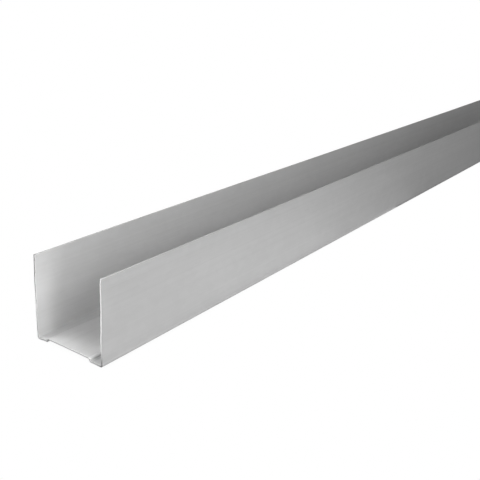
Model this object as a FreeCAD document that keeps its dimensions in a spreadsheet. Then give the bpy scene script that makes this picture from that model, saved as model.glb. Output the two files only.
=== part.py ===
import FreeCAD, Part
import os
from math import radians, tan

import Sketcher

# Ceiling track for drywall: one length of roll-formed galvanised steel strip, bent to a U.
# Frame: X across the web, Y along the length, Z up. The web lies underneath, on its two foot strips (Z = 0),
# the flanges stand up at +X and -X, and the origin is under the middle of the web, at half length.

doc = FreeCAD.newDocument("ceiling_track")

# ---------------------------------------------------------------- driving dimensions (mm, degrees)
sheet = doc.addObject("Spreadsheet::Sheet", "Dimensions")
DIMENSIONS = [
    ("track_length", 3000.0, "length the stock is sold in"),
    ("web_width", 30.0, "across the outsides of the flanges"),
    ("flange_height", 30.0, "from the underside of the web to the free edge"),
    ("sheet_thickness", 0.55, "galvanised strip"),
    ("foot_width", 5.7, "foot strip of the web, from the outside of the flange to the step"),
    ("panel_rise", 0.9, "how far the middle of the web stands above the foot strips"),
    ("step_angle", 65.0, "slope of the step between foot strip and raised panel"),
    ("bend_radius", 0.3, "inside radius of every bend"),
]
sheet.set("A1", "dimension")
sheet.set("B1", "value")
sheet.set("C1", "what it is")
for row, (alias, value, note) in enumerate(DIMENSIONS, start=2):
    sheet.set("A%d" % row, alias)
    sheet.set("B%d" % row, str(value))
    sheet.setAlias("B%d" % row, alias)
    sheet.set("C%d" % row, note)
doc.recompute()

SIZE = {alias: float(sheet.get(alias)) for alias, _, _ in DIMENSIONS}


def cell(alias):
    return "Dimensions." + alias


# ---------------------------------------------------------------- section, with sharp corners
body = doc.addObject("PartDesign::Body", "Track")
body.Label = "track"
section_plane = next(f for f in body.Origin.OriginFeatures if f.Role == "XZ_Plane")
section = body.newObject("Sketcher::SketchObject", "Section")
section.AttachmentSupport = (section_plane, [""])
section.MapMode = "FlatFace"

half = SIZE["web_width"] / 2
top = SIZE["flange_height"]
thick = SIZE["sheet_thickness"]
foot = SIZE["foot_width"]
rise = SIZE["panel_rise"]

run = rise / tan(radians(SIZE["step_angle"]))
shift = thick * tan(radians(SIZE["step_angle"]) / 2)  # how far a step's upper corner stands back from its lower one

# Corners in order round the section: down the outside of the left flange, along the underside, up the outside of the
# right flange, and back along the inside.
CORNERS = [
    (-half, top),
    (-half, 0.0),
    (-half + foot, 0.0),
    (-half + foot + run, rise),
    (half - foot - run, rise),
    (half - foot, 0.0),
    (half, 0.0),
    (half, top),
    (half - thick, top),
    (half - thick, thick),
    (half - foot + shift, thick),
    (half - foot - run + shift, rise + thick),
    (-half + foot + run - shift, rise + thick),
    (-half + foot - shift, thick),
    (-half + thick, thick),
    (-half + thick, top),
]
COUNT = len(CORNERS)
for i in range(COUNT):
    (x0, z0), (x1, z1) = CORNERS[i], CORNERS[(i + 1) % COUNT]
    section.addGeometry(Part.LineSegment(FreeCAD.Vector(x0, z0, 0), FreeCAD.Vector(x1, z1, 0)), False)
for i in range(COUNT):
    section.addConstraint(Sketcher.Constraint("Coincident", i, 2, (i + 1) % COUNT, 1))

# Line i starts at corner i. The right half mirrors the left half about the vertical axis.
for left, right in ((0, 7), (1, 6), (2, 5), (3, 4), (15, 8), (14, 9), (13, 10), (12, 11)):
    section.addConstraint(Sketcher.Constraint("Symmetric", left, 1, right, 1, -2))
section.addConstraint(Sketcher.Constraint("Vertical", 0))
section.addConstraint(Sketcher.Constraint("Horizontal", 1))
section.addConstraint(Sketcher.Constraint("Vertical", 14))
section.addConstraint(Sketcher.Constraint("Horizontal", 13))
section.addConstraint(Sketcher.Constraint("Horizontal", 15))
section.addConstraint(Sketcher.Constraint("Parallel", 2, 12))
section.addConstraint(Sketcher.Constraint("PointOnObject", 1, 1, -1))


def dimension(name, alias, *constraint):
    index = section.addConstraint(Sketcher.Constraint(*constraint))
    section.renameConstraint(index, name)
    section.setExpression("Constraints." + name, cell(alias))


dimension("WebWidth", "web_width", "DistanceX", 1, 1, 6, 1, SIZE["web_width"])
dimension("FlangeHeight", "flange_height", "DistanceY", 1, 1, 0, 1, SIZE["flange_height"])
dimension("FootWidth", "foot_width", "DistanceX", 1, 1, 2, 1, SIZE["foot_width"])
dimension("PanelRise", "panel_rise", "DistanceY", 2, 1, 3, 1, SIZE["panel_rise"])
angle = section.addConstraint(Sketcher.Constraint("Angle", 2, radians(SIZE["step_angle"])))
section.renameConstraint(angle, "StepAngle")
section.setExpression("Constraints.StepAngle", cell("step_angle") + " * 1 deg")
dimension("FlangeThickness", "sheet_thickness", "DistanceX", 0, 1, 15, 1, SIZE["sheet_thickness"])
dimension("FootThickness", "sheet_thickness", "DistanceY", 1, 1, 14, 1, SIZE["sheet_thickness"])
dimension("PanelThickness", "sheet_thickness", "DistanceY", 3, 1, 12, 1, SIZE["sheet_thickness"])
dimension("StepThickness", "sheet_thickness", "Distance", 13, 1, 2, SIZE["sheet_thickness"])
doc.recompute()
if section.solve() != 0 or not section.FullyConstrained:
    raise RuntimeError("the section isn't solved and fully constrained")

# ---------------------------------------------------------------- the strip along its length
strip = body.newObject("PartDesign::Pad", "Strip")
strip.Profile = section
strip.setExpression("Length", cell("track_length"))
if hasattr(strip, "SideType"):
    strip.SideType = "Symmetric"
else:
    strip.Midplane = True
doc.recompute()


def long_edges(shape, corners):
    """Names of the edges that run the whole length through the given corners of the section."""
    names = []
    for x, z in corners:
        for number, edge in enumerate(shape.Edges, start=1):
            if abs(edge.Length - SIZE["track_length"]) > 1e-3:
                continue
            middle = edge.BoundBox.Center
            if abs(middle.x - x) < 1e-4 and abs(middle.z - z) < 1e-4:
                names.append("Edge%d" % number)
    if len(names) != len(corners):
        raise RuntimeError("found %d of %d bend edges" % (len(names), len(corners)))
    return names


# ---------------------------------------------------------------- bends
# Each bend keeps the strip's thickness: the outside radius is the inside radius plus the thickness.
outside_corners = [CORNERS[i] for i in (1, 6, 2, 5, 11, 12)]
inside_corners = [CORNERS[i] for i in (9, 14, 10, 13, 3, 4)]

bends_outside = body.newObject("PartDesign::Fillet", "BendsOutside")
bends_outside.Base = (strip, long_edges(strip.Shape, outside_corners))
bends_outside.setExpression("Radius", cell("bend_radius") + " + " + cell("sheet_thickness"))
doc.recompute()

bends_inside = body.newObject("PartDesign::Fillet", "BendsInside")
bends_inside.Base = (bends_outside, long_edges(bends_outside.Shape, inside_corners))
bends_inside.setExpression("Radius", cell("bend_radius"))
body.Tip = bends_inside
body.Placement = FreeCAD.Placement()
doc.recompute()

# ---------------------------------------------------------------- checks, then the file
for thing in doc.Objects:
    if "Invalid" in thing.State or "Error" in thing.State:
        raise RuntimeError("%s failed: %s" % (thing.Name, thing.State))
shape = body.Shape
if shape.isNull() or not shape.isValid() or len(shape.Solids) != 1:
    raise RuntimeError("the track isn't one valid solid")
box = shape.BoundBox
for got, wanted in (
    (box.XLength, SIZE["web_width"]),
    (box.YLength, SIZE["track_length"]),
    (box.ZLength, SIZE["flange_height"]),
    (box.ZMin, 0.0),
    (box.YMin, -SIZE["track_length"] / 2),
    (box.XMin, -SIZE["web_width"] / 2),
):
    if abs(got - wanted) > 1e-3:
        raise RuntimeError("size %.4f is not %.4f" % (got, wanted))
area = shape.Volume / SIZE["track_length"]
print("section %.3f mm2, strip width %.2f mm, volume %.0f mm3" % (area, area / thick, shape.Volume))

os.makedirs("parts", exist_ok=True)
shape.exportStep(os.path.join("parts", body.Label + ".step"))
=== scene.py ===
import math

import bpy
import numpy as np
from mathutils import Matrix, Vector


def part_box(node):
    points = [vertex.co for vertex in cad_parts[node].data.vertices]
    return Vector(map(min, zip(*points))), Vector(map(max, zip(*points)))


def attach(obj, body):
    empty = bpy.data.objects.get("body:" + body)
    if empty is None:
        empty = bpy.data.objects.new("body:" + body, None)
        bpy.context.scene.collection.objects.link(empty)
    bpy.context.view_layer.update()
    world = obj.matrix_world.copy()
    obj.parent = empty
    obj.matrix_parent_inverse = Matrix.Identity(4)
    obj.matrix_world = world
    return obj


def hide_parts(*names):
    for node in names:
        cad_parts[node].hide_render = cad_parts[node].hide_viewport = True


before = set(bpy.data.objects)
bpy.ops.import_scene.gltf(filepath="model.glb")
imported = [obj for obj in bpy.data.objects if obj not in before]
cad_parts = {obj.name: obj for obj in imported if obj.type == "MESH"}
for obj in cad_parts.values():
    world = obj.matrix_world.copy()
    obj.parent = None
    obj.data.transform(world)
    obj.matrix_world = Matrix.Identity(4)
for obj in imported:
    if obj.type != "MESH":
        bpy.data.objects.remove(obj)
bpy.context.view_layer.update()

scene = bpy.context.scene
MM = 0.001

# ------------------------------------------------------------------ the strip's section, in millimetres
low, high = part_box("track")
HALF = high.x / MM
TOP = high.z / MM
NEAR, FAR = low.y / MM, high.y / MM
THICK, FOOT, RISE, STEP = 0.55, 5.7, 0.9, math.radians(65)
INSIDE_R = 0.3
OUTSIDE_R = INSIDE_R + THICK
EDGE = 0.07  # rounding of the slit edges
SHEAR = 0.04  # rounding of the sheared ends


def rounded_path(corners, radii, straights, arcs):
    """Points along a bent line: each straight is divided, and each corner is an arc."""
    corners = [np.array(c, float) for c in corners]
    starts, ends, turns = [corners[0]], [], []
    for i in range(1, len(corners) - 1):
        before = corners[i] - corners[i - 1]
        after = corners[i + 1] - corners[i]
        before /= np.linalg.norm(before)
        after /= np.linalg.norm(after)
        turn = math.atan2(before[0] * after[1] - before[1] * after[0], before @ after)
        reach = radii[i - 1] * math.tan(abs(turn) / 2)
        side = np.array([-before[1], before[0]]) * (1 if turn > 0 else -1)
        start = corners[i] - before * reach
        ends.append(start)
        starts.append(corners[i] + after * reach)
        turns.append((start + side * radii[i - 1], start, turn))
    ends.append(corners[-1])
    path = []
    for k, (a, b) in enumerate(zip(starts, ends)):
        n = straights[k]
        path += [a + (b - a) * j / n for j in range(n + 1)]
        if k < len(turns):
            centre, start, turn = turns[k]
            arm = start - centre
            for j in range(1, arcs[k]):
                c, s = math.cos(turn * j / arcs[k]), math.sin(turn * j / arcs[k])
                path.append(centre + np.array([arm[0] * c - arm[1] * s, arm[0] * s + arm[1] * c]))
    return np.array(path)


run = RISE / math.tan(STEP)
shift = THICK * math.tan(STEP / 2)
straights = [16, 4, 1, 12, 1, 4, 16]
arcs = [8, 6, 6, 6, 6, 8]
outer = rounded_path(
    [
        (-HALF, TOP - EDGE), (-HALF, 0), (-HALF + FOOT, 0), (-HALF + FOOT + run, RISE),
        (HALF - FOOT - run, RISE), (HALF - FOOT, 0), (HALF, 0), (HALF, TOP - EDGE),
    ],
    [OUTSIDE_R, OUTSIDE_R, INSIDE_R, INSIDE_R, OUTSIDE_R, OUTSIDE_R],
    straights, arcs,
)
inner = rounded_path(
    [
        (-HALF + THICK, TOP - EDGE), (-HALF + THICK, THICK), (-HALF + FOOT - shift, THICK),
        (-HALF + FOOT + run - shift, RISE + THICK), (HALF - FOOT - run + shift, RISE + THICK),
        (HALF - FOOT + shift, THICK), (HALF - THICK, THICK), (HALF - THICK, TOP - EDGE),
    ],
    [INSIDE_R, INSIDE_R, OUTSIDE_R, OUTSIDE_R, INSIDE_R, INSIDE_R],
    straights, arcs,
)
N = len(outer)
right_edge = np.array([(HALF - EDGE, TOP), (HALF - THICK + EDGE, TOP)])
left_edge = np.array([(-HALF + THICK - EDGE, TOP), (-HALF + EDGE, TOP)])
loop = np.vstack([outer, right_edge, inner[::-1], left_edge])
M = len(loop)
middle = (outer + inner) / 2
inward = np.vstack([middle - outer, [(-1, -1), (1, -1)], (middle - inner)[::-1], [(-1, -1), (1, -1)]])
inward = inward / np.linalg.norm(inward, axis=1)[:, None]

# ------------------------------------------------------------------ stations along the length
ends_in = [0, SHEAR, 0.35, 1, 2, 3.5, 5, 7, 9, 12, 15, 19, 24, 30, 38, 48, 60]
near_part = [NEAR + d for d in ends_in] + [NEAR + d for d in np.arange(75, 601, 15)]
far_part = [FAR - d for d in ends_in] + [FAR - d for d in np.arange(75, 301, 15)]
mid_part = list(np.arange(NEAR + 630, FAR - 301, 30))
stations = np.array(sorted(near_part + mid_part + far_part))


def swell(at, centre, width):
    return np.exp(-(((at - centre) / width) ** 2))


def wander(y, parts):
    return sum(a * np.sin(2 * math.pi * y / wave + phase) for wave, a, phase in parts)


verts = []
for j, y in enumerate(stations):
    ring = loop.copy()
    at_end = j in (0, len(stations) - 1)
    if at_end:
        ring = ring + inward * SHEAR
    x, z = ring[:, 0], ring[:, 1]
    up = np.clip((z - 1.5) / (TOP - 1.5), 0, 1)
    flange = np.abs(x) > HALF - THICK - 0.2
    left, right = flange & (x < 0), flange & (x > 0)
    # thin flanges are never quite flat along a 3 m length, and their sheared ends spring a little
    bow_left = wander(y, [(431, 0.10, 0.4), (187, 0.05, 1.9), (96, 0.022, 0.2)])
    bow_right = wander(y, [(389, 0.09, 2.1), (211, 0.05, 0.7), (83, 0.02, 1.1)])
    x = x + np.where(left, bow_left * up**1.5, 0) + np.where(right, bow_right * up**1.5, 0)
    near_by, far_by = y - NEAR, FAR - y
    lean = 0.17 * swell(up, 0.28, 0.22) + 0.23 * swell(up, 0.65, 0.16) - 0.06 * swell(up, 1.02, 0.15)
    x = x - np.where(left, swell(near_by, 0, 8.5) * lean, 0)
    x = x - np.where(right, swell(near_by, 0, 8.5) * 0.26 * swell(up, 0.24, 0.15), 0)
    x = x + np.where(right, swell(far_by, 0, 8.5) * 0.2 * up, 0) - np.where(left, swell(far_by, 0, 8.5) * 0.18 * up, 0)
    panel = np.abs(x) < HALF - FOOT - run
    # the web's sheared ends spring up a little, and the shear presses the near left step outwards
    web = ring[:, 1] < 2.2
    lift = np.interp(
        x, [-14.4, -13, -11.6, -10, -6.6, 0, 5, 8, 10.6, 14.4], [0, 0.07, 0.17, 0.23, 0.27, 0.26, 0.19, 0.12, 0.07, 0]
    )
    z = z + np.where(web, lift * (swell(near_by, 0, 14) + 0.6 * swell(far_by, 0, 14)), 0)
    press = np.interp(x, [-14, -11.6, -7.6, -2], [0, 1, 1, 0])
    x = x - np.where(web, 0.8 * press * swell(near_by, 0, 24), 0)
    sag = wander(y, [(523, 0.03, 1.3), (147, 0.012, 0.5)]) * np.cos(x / (HALF - FOOT) * math.pi / 2)
    z = z + np.where(panel, sag, 0)
    ys = np.full(M, y)
    if at_end or j in (1, len(stations) - 2):
        # a sheared end is straight to within a few hundredths
        ys = ys + 0.02 * np.sin(ring[:, 0] * 1.7 + 0.6) + 0.015 * np.sin(ring[:, 1] * 1.1)
        ys = np.clip(ys, NEAR, FAR)
    verts.append(np.column_stack([x, ys, z]))
verts = np.vstack(verts) * MM

faces, cut = [], []
S = len(stations)
for j in range(S - 1):
    for i in range(M):
        k = (i + 1) % M
        faces.append((j * M + i, (j + 1) * M + i, (j + 1) * M + k, j * M + k))
        # the slit edges: between the ends of the two long faces
        cut.append(1 if N <= i < N + 1 or M - 2 <= i < M - 1 else 0)
for j, near_end in ((0, True), (S - 1, False)):
    base = j * M
    inside = lambda i: base + 2 * N + 1 - i  # the inner point across from outer point i
    for i in range(N - 1):
        quad = (base + i, inside(i), inside(i + 1), base + i + 1)
        faces.append(quad[::-1] if near_end else quad)
        cut.append(1)
    right_cap = (base + N - 1, inside(N - 1), base + N + 1, base + N)
    left_cap = (base + M - 1, base + M - 2, inside(0), base)
    for cap in (right_cap, left_cap):
        faces.append(cap[::-1] if near_end else cap)
        cut.append(1)

mesh = bpy.data.meshes.new("track_strip")
mesh.from_pydata([tuple(v) for v in verts], [], faces)
mesh.polygons.foreach_set("use_smooth", [True] * len(faces))
mesh.polygons.foreach_set("material_index", cut)

# A flat pattern of the strip for baking: the girth runs up the square, and the two halves of the length lie in it one
# above the other. The cut ends lie in a narrow band at the top.
girth = np.concatenate([[0], np.cumsum(np.linalg.norm(np.diff(np.vstack([loop, loop[:1]]), axis=0), axis=1))])
uv = np.zeros((len(mesh.loops), 2))
corner = 0
for f, face in enumerate(faces):
    if f < (S - 1) * M:
        j, i = divmod(f, M)
        half = 0 if stations[j] < -1e-6 else 1
        along = [(stations[j] - half * FAR) / FAR + (1 - half), (stations[j + 1] - half * FAR) / FAR + (1 - half)]
        if half:
            along = [a + 1 for a in along]
        up_to = [girth[i] / girth[-1], girth[i + 1] / girth[-1]]
        places = [(along[0], up_to[0]), (along[1], up_to[0]), (along[1], up_to[1]), (along[0], up_to[1])]
        for k, (a, b) in enumerate(places):
            uv[corner + k] = (0.004 + 0.992 * a, 0.004 + 0.478 * half + 0.472 * b)
    else:
        far_end = f >= (S - 1) * M + N + 1
        for k, v in enumerate(face):
            at = v % M
            ring_x, ring_z = loop[at]
            uv[corner + k] = (
                0.01 + 0.5 * far_end + 0.46 * (ring_x + HALF) / (2 * HALF),
                0.962 + 0.03 * ring_z / TOP,
            )
    corner += len(face)
layer = mesh.uv_layers.new(name="OFBake")
layer.data.foreach_set("uv", uv.astype(np.float32).ravel())
mesh.validate()
mesh.update()
mesh.set_sharp_from_angle(angle=math.radians(28))
track = bpy.data.objects.new("track_strip", mesh)
scene.collection.objects.link(track)
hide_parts("track")
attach(track, "root")


# ------------------------------------------------------------------ materials
def new_material(name):
    m = bpy.data.materials.new(name)
    m.use_nodes = True
    t = m.node_tree
    t.nodes.clear()
    out = t.nodes.new("ShaderNodeOutputMaterial")
    shader = t.nodes.new("ShaderNodeBsdfPrincipled")
    t.links.new(shader.outputs["BSDF"], out.inputs["Surface"])
    return m, t, shader


class Graph:
    """Short ways to add nodes to one material. Patterns are laid on the object's own coordinates, in metres."""

    def __init__(self, tree):
        self.tree = tree
        self.place = tree.nodes.new("ShaderNodeTexCoord").outputs["Object"]

    def link(self, value, socket):
        if isinstance(value, (int, float)):
            socket.default_value = value
        else:
            self.tree.links.new(value, socket)

    def math(self, kind, a, b=None, clamp=False):
        n = self.tree.nodes.new("ShaderNodeMath")
        n.operation, n.use_clamp = kind, clamp
        self.link(a, n.inputs[0])
        if b is not None:
            self.link(b, n.inputs[1])
        return n.outputs[0]

    def stretched(self, sx, sy, sz, turn=(0, 0, 0)):
        n = self.tree.nodes.new("ShaderNodeMapping")
        n.vector_type = "POINT"
        n.inputs["Rotation"].default_value = [math.radians(a) for a in turn]
        n.inputs["Scale"].default_value = (sx, sy, sz)
        self.tree.links.new(self.place, n.inputs["Vector"])
        return n.outputs["Vector"]

    def noise(self, place, detail, roughness=0.55):
        n = self.tree.nodes.new("ShaderNodeTexNoise")
        n.inputs["Scale"].default_value = 1.0
        n.inputs["Detail"].default_value = detail
        n.inputs["Roughness"].default_value = roughness
        self.tree.links.new(place, n.inputs["Vector"])
        return n.outputs[0]

    def cells(self, place):
        n = self.tree.nodes.new("ShaderNodeTexVoronoi")
        n.inputs["Scale"].default_value = 1.0
        self.tree.links.new(place, n.inputs["Vector"])
        split = self.tree.nodes.new("ShaderNodeSeparateColor")
        self.tree.links.new(n.outputs["Color"], split.inputs[0])
        return split.outputs[0]

    def xyz(self):
        n = self.tree.nodes.new("ShaderNodeSeparateXYZ")
        self.tree.links.new(self.place, n.inputs[0])
        return n.outputs

    def fade(self, value, start, end):
        """0 at start, 1 at end, smooth between."""
        n = self.tree.nodes.new("ShaderNodeMapRange")
        n.interpolation_type = "SMOOTHSTEP"
        self.link(value, n.inputs["Value"])
        n.inputs["From Min"].default_value, n.inputs["From Max"].default_value = start, end
        return n.outputs[0]

    def summed(self, start, parts):
        """start + the sum of weight * (pattern - middle)."""
        total = start
        for pattern, middle, weight in parts:
            total = self.math("ADD", total, self.math("MULTIPLY", self.math("SUBTRACT", pattern, middle), weight))
        return total

    def grey(self, value):
        n = self.tree.nodes.new("ShaderNodeCombineColor")
        for socket in n.inputs[:3]:
            self.link(value, socket)
        return n.outputs[0]

    def bump(self, height, depth, under=None):
        n = self.tree.nodes.new("ShaderNodeBump")
        n.inputs["Strength"].default_value = 1.0
        n.inputs["Distance"].default_value = depth
        self.link(height, n.inputs["Height"])
        if under is not None:
            self.tree.links.new(under, n.inputs["Normal"])
        return n.outputs[0]


# zinc-coated strip: rolling lines along the length, a soft small-grained mottle, forming marks beside the bends,
# handling scuffs, and free edges rubbed a little brighter
zinc, t, shader = new_material("galvanised_steel")
g = Graph(t)
lines = g.noise(g.stretched(900, 3, 900), 4, 0.62)
bands = g.noise(g.stretched(190, 1.2, 190), 2)
cloud = g.noise(g.stretched(95, 48, 95), 5, 0.6)
grain = g.cells(g.stretched(430, 300, 430))
scuff_a = g.noise(g.stretched(60, 11, 2400, (7, 0, 0)), 1)
scuff_b = g.noise(g.stretched(2400, 9, 60, (0, 0, -6)), 1)
scuffs = g.math("MULTIPLY", g.fade(g.math("MAXIMUM", scuff_a, scuff_b), 0.66, 0.74), g.fade(cloud, 0.42, 0.62))

px, py, pz = g.xyz()[:3]
across = g.math("ABSOLUTE", px)
from_bend = g.math(
    "SQRT",
    g.math(
        "ADD",
        g.math("POWER", g.math("SUBTRACT", across, (HALF - 0.3) * MM), 2),
        g.math("POWER", g.math("SUBTRACT", pz, 0.3 * MM), 2),
    ),
)
from_step = g.math(
    "SQRT",
    g.math(
        "ADD",
        g.math("POWER", g.math("SUBTRACT", across, (HALF - FOOT - 0.2) * MM), 2),
        g.math("POWER", g.math("SUBTRACT", pz, 0.7 * MM), 2),
    ),
)
formed = g.math("MAXIMUM", g.fade(from_bend, 2.6 * MM, 0.7 * MM), g.fade(from_step, 1.9 * MM, 0.6 * MM))
formed = g.math("MULTIPLY", formed, g.fade(lines, 0.40, 0.60))
free_edge = g.math("MULTIPLY", g.fade(pz, (TOP - 0.9) * MM, (TOP - 0.1) * MM), g.fade(bands, 0.35, 0.6))
# a painted highlight along the upper edge of the web's sheared ends, stronger towards the right
along = g.math("ABSOLUTE", py)
painted_rim_highlight = g.math("MULTIPLY", g.fade(along, (FAR - 0.7) * MM, (FAR - 0.15) * MM), g.fade(pz, 2.4 * MM, 1.7 * MM))
painted_rim_highlight = g.math("MULTIPLY", painted_rim_highlight, g.fade(px, -1.0 * MM, 7.5 * MM))
# painted light: the flanges are a little lighter over their last few millimetres at each end
painted_end_light = g.math("MULTIPLY", g.fade(along, (FAR - 8.0) * MM, (FAR - 0.5) * MM), g.fade(pz, 2.0 * MM, 5.0 * MM))

# painted shade: the foot strips are darker, more on the right one, and most in the groove by the right step, which is
# also rougher
painted_groove_shade = g.math(
    "MULTIPLY",
    g.math("MULTIPLY", g.fade(px, 9.4 * MM, 9.7 * MM), g.fade(px, 11.8 * MM, 10.2 * MM)),
    g.math("MULTIPLY", g.fade(pz, 0.25 * MM, 0.45 * MM), g.fade(pz, 0.95 * MM, 0.65 * MM)),
)
# the groove's painted shade starts a little way in from the near end
painted_groove_shade = g.math("MULTIPLY", painted_groove_shade, g.fade(py, (NEAR + 0.4) * MM, (NEAR + 2.6) * MM))
foot_top = g.math("MULTIPLY", g.fade(pz, 0.25 * MM, 0.45 * MM), g.fade(pz, 1.3 * MM, 0.8 * MM))
painted_shade_right_foot = g.math("MULTIPLY", foot_top, g.fade(px, 9.6 * MM, 10.6 * MM))
painted_shade_left_foot = g.math("MULTIPLY", foot_top, g.fade(px, -9.3 * MM, -10.0 * MM))
# painted highlight: the right step's slope is lighter
painted_slope_highlight = g.math("MULTIPLY", g.fade(px, 8.6 * MM, 8.9 * MM), g.fade(px, 9.8 * MM, 9.5 * MM))
painted_slope_highlight = g.math("MULTIPLY", painted_slope_highlight, g.math("MULTIPLY", g.fade(pz, 0.9 * MM, 1.2 * MM), g.fade(pz, 1.7 * MM, 1.45 * MM)))

tone = g.summed(0.6, [
    (lines, 0.5, 0.06), (bands, 0.5, 0.03), (cloud, 0.5, 0.035), (grain, 0.5, 0.016),
    (scuffs, 0.0, 0.02), (formed, 0.0, 0.02), (free_edge, 0.0, 0.02), (painted_groove_shade, 0.0, -0.15),
    (painted_shade_right_foot, 0.0, -0.10), (painted_shade_left_foot, 0.0, -0.05), (painted_rim_highlight, 0.0, 0.05), (painted_slope_highlight, 0.0, 0.18),
    (painted_end_light, 0.0, 0.02),
])
t.links.new(g.grey(tone), shader.inputs["Base Color"])
sheen = g.summed(0.62, [
    (lines, 0.5, -0.055), (cloud, 0.5, 0.025), (grain, 0.5, 0.012),
    (scuffs, 0.0, -0.05), (formed, 0.0, -0.04), (free_edge, 0.0, -0.06), (painted_groove_shade, 0.0, 0.10),
])
t.links.new(sheen, shader.inputs["Roughness"])
shader.inputs["Metallic"].default_value = 1.0
relief = g.bump(lines, 0.0000026)
relief = g.bump(cloud, 0.0000020, relief)
relief = g.bump(g.math("SUBTRACT", 1.0, scuffs), 0.0000010, relief)
t.links.new(relief, shader.inputs["Normal"])
mesh.materials.append(zinc)

# bare cut edges: fine lines across the thickness, and dull on the left flange's near end. Painted light and shade
# on them: lighter low down and darker towards the top, with painted shade along the bottom few millimetres and more at
# the right bend's and the left step's cut ends
steel, t, shader = new_material("sheared_steel")
g = Graph(t)
strokes = g.noise(g.stretched(2600, 2600, 2600), 3, 0.6)
patches = g.noise(g.stretched(260, 40, 260), 3)
px, py, pz = g.xyz()[:3]
# painted light: the cut faces are lighter towards the bottom and darker towards the top
painted_light_low = g.fade(pz, 24.0 * MM, 5.0 * MM)
# painted shade: the cut faces are darker along their bottom few millimetres
painted_web_end_shade = g.fade(pz, 4.0 * MM, 1.4 * MM)
# painted shade: darker low down at the right bend's and the left step's cut ends, which are also rougher
at_step = g.fade(g.math("ABSOLUTE", g.math("ADD", px, 10.1 * MM)), 1.1 * MM, 0.3 * MM)
dull = g.math("MULTIPLY", g.fade(px, -13.4 * MM, -14.2 * MM), g.fade(pz, 1.5 * MM, 4.0 * MM))
dull = g.math("MULTIPLY", dull, g.fade(py, (NEAR + 1.0) * MM, (NEAR + 0.3) * MM))
painted_bend_end_shade = g.math("MULTIPLY", g.math("MAXIMUM", g.fade(px, 13.0 * MM, 14.4 * MM), at_step), painted_web_end_shade)
t.links.new(
    g.grey(g.summed(0.46, [
        (strokes, 0.5, 0.12), (patches, 0.5, 0.10), (painted_light_low, 0.0, 0.36), (painted_web_end_shade, 0.0, -0.14), (painted_bend_end_shade, 0.0, -0.19),
        (dull, 0.0, -0.33),
    ])),
    shader.inputs["Base Color"],
)
t.links.new(
    g.summed(0.66, [(strokes, 0.5, 0.16), (patches, 0.5, 0.12), (painted_bend_end_shade, 0.0, 0.06)]), shader.inputs["Roughness"]
)
t.links.new(g.bump(strokes, 0.000004), shader.inputs["Normal"])
shader.inputs["Metallic"].default_value = 1.0
mesh.materials.append(steel)

# ------------------------------------------------------------------ floor
floor_mesh = bpy.data.meshes.new("floor")
R = 60.0
floor_mesh.from_pydata([(-R, -R, 0), (R, -R, 0), (R, R, 0), (-R, R, 0)], [], [(0, 1, 2, 3)])
floor = bpy.data.objects.new("floor", floor_mesh)
floor.location.z = -0.0001
scene.collection.objects.link(floor)
floor.visible_glossy = False  # the metal mirrors the lamps and not the bright floor
# a glowing white sheet: even all over, with a faint painted contact shadow close under the track
pale = bpy.data.materials.new("pale_floor")
pale.use_nodes = True
pale.cycles.emission_sampling = "NONE"
t = pale.node_tree
t.nodes.clear()
painted_contact_shade = t.nodes.new("ShaderNodeAmbientOcclusion")
painted_contact_shade.samples = 8
painted_contact_shade.inputs["Distance"].default_value = 0.004
shade = t.nodes.new("ShaderNodeMapRange")
shade.inputs["From Min"].default_value, shade.inputs["From Max"].default_value = 0.15, 0.75
shade.inputs["To Min"].default_value, shade.inputs["To Max"].default_value = 0.97, 1.0
t.links.new(painted_contact_shade.outputs["AO"], shade.inputs["Value"])
glow = t.nodes.new("ShaderNodeEmission")
t.links.new(shade.outputs[0], glow.inputs["Strength"])
t.links.new(glow.outputs[0], t.nodes.new("ShaderNodeOutputMaterial").inputs["Surface"])
floor_mesh.materials.append(pale)

# ------------------------------------------------------------------ light
# A white room for the floor and the background. The metal mirrors a dim room, over a paler ground, with lamps in it.
world = bpy.data.worlds.new("studio")
scene.world = world
world.use_nodes = True
world.cycles.sampling_method = "NONE"
wt = world.node_tree
wt.nodes.clear()


def backdrop(strength):
    n = wt.nodes.new("ShaderNodeBackground")
    n.inputs["Color"].default_value = (1, 1, 1, 1)
    n.inputs["Strength"].default_value = strength
    return n


wall, dim, ground = backdrop(1.0), backdrop(0.0), backdrop(0.238)
height = wt.nodes.new("ShaderNodeSeparateXYZ")
wt.links.new(wt.nodes.new("ShaderNodeTexCoord").outputs["Generated"], height.inputs[0])
below = wt.nodes.new("ShaderNodeMapRange")
below.interpolation_type = "SMOOTHSTEP"
below.inputs["From Min"].default_value, below.inputs["From Max"].default_value = 0.02, -0.30
wt.links.new(height.outputs["Z"], below.inputs["Value"])
mirrored = wt.nodes.new("ShaderNodeMixShader")
wt.links.new(below.outputs[0], mirrored.inputs[0])
wt.links.new(dim.outputs[0], mirrored.inputs[1])
wt.links.new(ground.outputs[0], mirrored.inputs[2])
either = wt.nodes.new("ShaderNodeMixShader")
wt.links.new(wt.nodes.new("ShaderNodeLightPath").outputs["Is Glossy Ray"], either.inputs[0])
wt.links.new(wall.outputs[0], either.inputs[1])
wt.links.new(mirrored.outputs[0], either.inputs[2])
wt.links.new(either.outputs[0], wt.nodes.new("ShaderNodeOutputWorld").inputs["Surface"])


def softbox(name, where, at, size, power, spread=180):
    """A lamp that points from one place at another; size is across and up."""
    lamp = bpy.data.lights.new(name, "AREA")
    lamp.shape = "RECTANGLE"
    lamp.size, lamp.size_y = size
    lamp.energy = power
    lamp.spread = math.radians(spread)
    o = bpy.data.objects.new(name, lamp)
    o.location = where
    o.rotation_mode = "QUATERNION"
    o.rotation_quaternion = (Vector(where) - Vector(at)).to_track_quat("Z", "Y")
    o.visible_camera = False
    scene.collection.objects.link(o)
    return o


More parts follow.
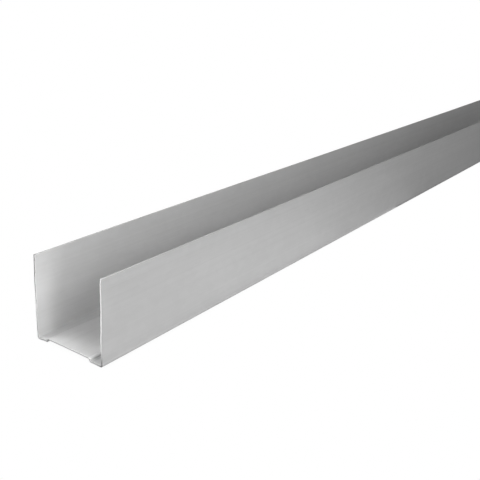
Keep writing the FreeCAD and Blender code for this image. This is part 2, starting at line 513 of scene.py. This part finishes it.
# lamps round the near end; places are from the middle of that end
END = Vector((0, NEAR * MM, 0))
for name, where, at, size, power in (
    ("right_small", (0.5582, -0.1186, 0.2004), (0, 0, 0.015), (0.05, 0.08), 0.631),
    ("right_high", (0.371, -0.099, 0.46), (0, 0.03, 0), (0.25, 0.25), 2.353),
    ("right_over", (0.383, 0.0, 0.3364), (0, 0, 0.015), (0.2, 0.15), 0.470),
    ("right_back", (0.4069, 0.1481, 0.265), (0, 0, 0.015), (0.2, 0.15), 1.021),
    ("far_right_1", (2.3580, -0.8119, 0.1894), (0, 0, 0.015), (0.24, 0.34), 6.20),
    ("far_right_2", (2.4089, -0.6455, 0.1894), (0, 0, 0.015), (0.24, 0.34), 4.00),
    ("far_right_3", (2.4168, -0.4698, 0.4491), (0, 0, 0.015), (0.24, 0.34), 4.90),
    ("left_high", (-0.33, -0.2, 0.46), (0, 0, 0), (0.25, 0.25), 2.893),
    ("left_side", (-0.45, 0.1, 0.3), (0, 0.1, 0), (0.6, 0.5), 2.239),
    # a small lamp before the mouth of the channel shines across on the left flange's end
    ("mouth", (0.0135, -0.017, 0.017), (-1.0, -0.017, 0.017), (0.026, 0.03), 0.0127),
):
    softbox(name, END + Vector(where), END + Vector(at), size, power)


def card(name, x0, x1, y0, y1, power):
    """A glowing card on the floor, facing up; y is from the near end."""
    middle_of = END + Vector(((x0 + x1) / 2, (y0 + y1) / 2, 0.0004))
    softbox(name, middle_of, middle_of + Vector((0, 0, 1)), (x1 - x0, y1 - y0), power)


# cards by the near end: one in front, a row beside the right flange that fades along it, and strips close to its bend
card("card_toe", -0.05, 0.008, -0.085, -0.022, 0.085)
row = [0.0, 0.06, 0.11, 0.155, 0.20, 0.245]
for i, power in enumerate((0.0081, 0.0080, 0.0070, 0.0042, 0.0023)):
    card("card_right_%d" % (i + 1), 0.0172, 0.12, row[i], row[i + 1], power)
card("card_bend_1", 0.01505, 0.016, -0.001, 0.05, 0.00013)
card("card_bend_2", 0.01505, 0.016, 0.05, 0.11, 0.00014)
card("card_bend_3", 0.01505, 0.016, 0.11, 0.22, 0.00022)

# the rest of the length: a long card and a long lamp on each side, a card past the far end, and broad lamps above
card("card_mid_right", 0.05, 0.30, 0.58, 0.75, 0.035)
card("card_long_right", 0.05, 0.30, 0.75, 3.05, 0.88)
card("card_long_left", -0.30, -0.05, 0.30, 3.05, 0.88)
card("card_far", -0.15, 0.15, 3.03, 3.35, 0.15)
softbox("long_top", END + Vector((0, 2.2, 0.9)), END + Vector((0, 2.2, 0)), (0.9, 2.0), 3.4, 90)
softbox("mid_top_1", END + Vector((0, 0.57, 0.11)), END + Vector((0, 0.57, 0)), (0.16, 0.24), 0.045, 90)
softbox("mid_top_2", END + Vector((0, 0.95, 0.22)), END + Vector((0, 0.95, 0)), (0.3, 0.5), 0.20, 90)
softbox("long_left", END + Vector((-0.55, 2.15, 0.45)), END + Vector((0, 2.15, 0.02)), (2.1, 0.3), 2.9, 90)
softbox("long_right", END + Vector((0.55, 2.15, 0.45)), END + Vector((0, 2.15, 0.02)), (2.1, 0.3), 2.9, 90)

# ------------------------------------------------------------------ camera
cam_data = bpy.data.cameras.new("camera")
cam = bpy.data.objects.new("camera", cam_data)
scene.collection.objects.link(cam)
cam_data.sensor_width = 36.0
cam_data.lens = 55.4
cam_data.clip_start, cam_data.clip_end = 0.01, 200.0
azimuth, elevation, roll = (math.radians(a) for a in (-34.369, 20.434, 2.879))
ahead = Vector((math.sin(azimuth) * math.cos(elevation), math.cos(azimuth) * math.cos(elevation), -math.sin(elevation)))
side = ahead.cross(Vector((0, 0, 1))).normalized()
over = side.cross(ahead)
right = math.cos(roll) * side + math.sin(roll) * over
upward = -math.sin(roll) * side + math.cos(roll) * over
turn = Matrix((right, upward, -ahead)).transposed()
cam.rotation_mode = "QUATERNION"
cam.rotation_quaternion = turn.to_quaternion()
cam.location = (0.16131, NEAR * MM - 0.14213, 0.11914)
scene.camera = cam

scene.view_settings.view_transform = "Standard"
scene.view_settings.look = "None"
scene.view_settings.exposure = 0.0

bpy.context.view_layer.update()
